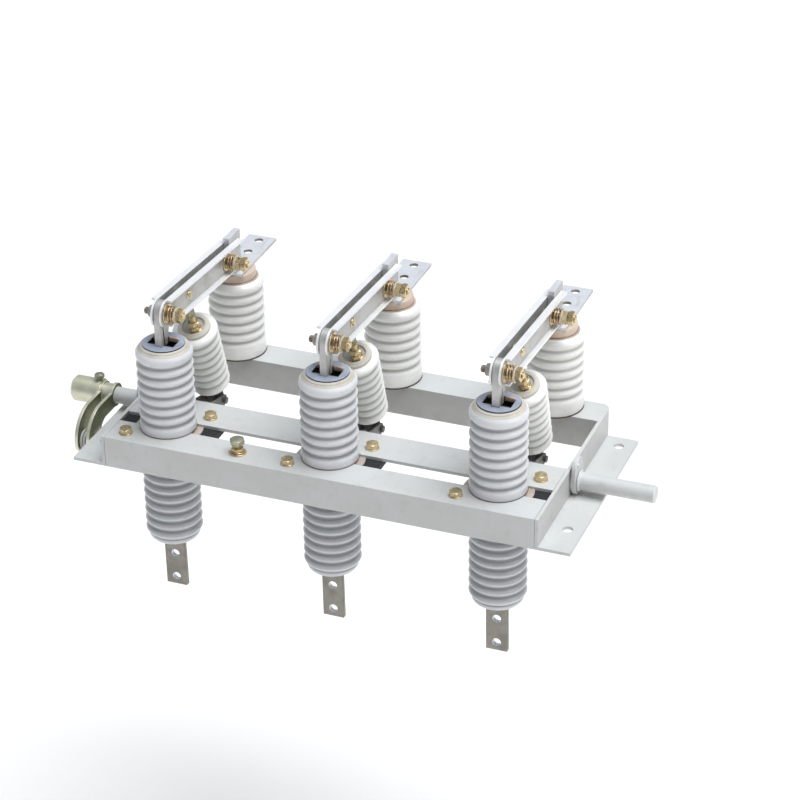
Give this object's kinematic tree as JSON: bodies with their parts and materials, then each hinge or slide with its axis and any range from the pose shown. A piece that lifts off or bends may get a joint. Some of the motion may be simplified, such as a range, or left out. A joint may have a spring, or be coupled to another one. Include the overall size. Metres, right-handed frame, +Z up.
{
  "type": "substation disconnect switch",
  "caption": "Indoor three-pole knife-blade disconnector with through-bushings, post insulators and a common shaft that lifts the blades by pull insulators.",
  "frame": {"origin": "centre of the left mounting flange's underside", "axes": "+X along the shaft to the plain shaft end, +Y to the rear terminals, +Z up"},
  "size_m": [0.8965, 0.411, 0.47],
  "materials": {
    "frame_paint": "satin",
    "cast_flange": "matt black",
    "seal_cap": "matt",
    "bushing_glaze": "glossy glaze",
    "post_glaze": "glossy glaze",
    "tinned_copper": "satin tin",
    "cement": "matt",
    "yellow_zinc": "satin, passivated",
    "spring_steel": "satin"
  },
  "bodies": {
    "frame": {"front_beam": "frame_paint", "back_beam": "frame_paint", "middle_strip": "frame_paint", "left_end_angle": "frame_paint", "right_end_angle": "frame_paint", "bushing_left": "bushing_glaze", "bushing_middle": "bushing_glaze", "bushing_right": "bushing_glaze", "bushing_flange_left": "cast_flange", "bushing_flange_middle": "cast_flange", "bushing_flange_right": "cast_flange", "bushing_cap_left": "seal_cap", "bushing_cap_middle": "seal_cap", "bushing_cap_right": "seal_cap", "conductor_left": "tinned_copper", "conductor_middle": "tinned_copper", "conductor_right": "tinned_copper", "post_insulator_left": "post_glaze", "post_insulator_middle": "post_glaze", "post_insulator_right": "post_glaze", "post_cap_left": "cement", "post_cap_middle": "cement", "post_cap_right": "cement", "fixed_contact_left": "tinned_copper", "fixed_contact_middle": "tinned_copper", "fixed_contact_right": "tinned_copper", "bearing_plates": "frame_paint"},
    "blade_left": {"blades_left": "tinned_copper", "blade_bolts_left": "yellow_zinc", "pressure_springs_left": "spring_steel"},
    "pull_rod_left": {"pull_insulator_left": "post_glaze", "pull_fittings_left": "yellow_zinc"},
    "blade_middle": {"blades_middle": "tinned_copper", "blade_bolts_middle": "yellow_zinc", "pressure_springs_middle": "spring_steel"},
    "pull_rod_middle": {"pull_insulator_middle": "post_glaze", "pull_fittings_middle": "yellow_zinc"},
    "blade_right": {"blades_right": "tinned_copper", "blade_bolts_right": "yellow_zinc", "pressure_springs_right": "spring_steel"},
    "pull_rod_right": {"pull_insulator_right": "post_glaze", "pull_fittings_right": "yellow_zinc"},
    "shaft": {"main_shaft": "frame_paint", "pole_cranks": "yellow_zinc", "drive_crank": "yellow_zinc"}
  },
  "joints": [
    {"name": "shaft_turn", "type": "hinge", "parent": "frame", "child": "shaft", "pos_m": [0.351, -0.006, 0.025], "axis": [1, 0, 0], "range_deg": [0, 60]},
    {"name": "blade_turn_left", "type": "hinge", "parent": "frame", "child": "blade_left", "pos_m": [0.101, -0.0975, 0.23], "axis": [1, 0, 0], "range_deg": [0, 55.87]},
    {"name": "rod_turn_left", "type": "hinge", "parent": "blade_left", "child": "pull_rod_left", "pos_m": [0.101, -0.02567, 0.22498], "axis": [1, 0, 0], "range_deg": [-53.33, 0]},
    {"name": "blade_turn_middle", "type": "hinge", "parent": "frame", "child": "blade_middle", "pos_m": [0.351, -0.0975, 0.23], "axis": [1, 0, 0], "range_deg": [0, 55.87]},
    {"name": "rod_turn_middle", "type": "hinge", "parent": "blade_middle", "child": "pull_rod_middle", "pos_m": [0.351, -0.02567, 0.22498], "axis": [1, 0, 0], "range_deg": [-53.33, 0]},
    {"name": "blade_turn_right", "type": "hinge", "parent": "frame", "child": "blade_right", "pos_m": [0.601, -0.0975, 0.23], "axis": [1, 0, 0], "range_deg": [0, 55.87]},
    {"name": "rod_turn_right", "type": "hinge", "parent": "blade_right", "child": "pull_rod_right", "pos_m": [0.601, -0.02567, 0.22498], "axis": [1, 0, 0], "range_deg": [-53.33, 0]}
  ],
  "couplings": [
    {"joint": "blade_turn_left", "follows": "shaft_turn", "ratio": 0.9303},
    {"joint": "rod_turn_left", "follows": "shaft_turn", "ratio": -0.888},
    {"joint": "blade_turn_middle", "follows": "shaft_turn", "ratio": 0.9303},
    {"joint": "rod_turn_middle", "follows": "shaft_turn", "ratio": -0.888},
    {"joint": "blade_turn_right", "follows": "shaft_turn", "ratio": 0.9303},
    {"joint": "rod_turn_right", "follows": "shaft_turn", "ratio": -0.888}
  ]
}
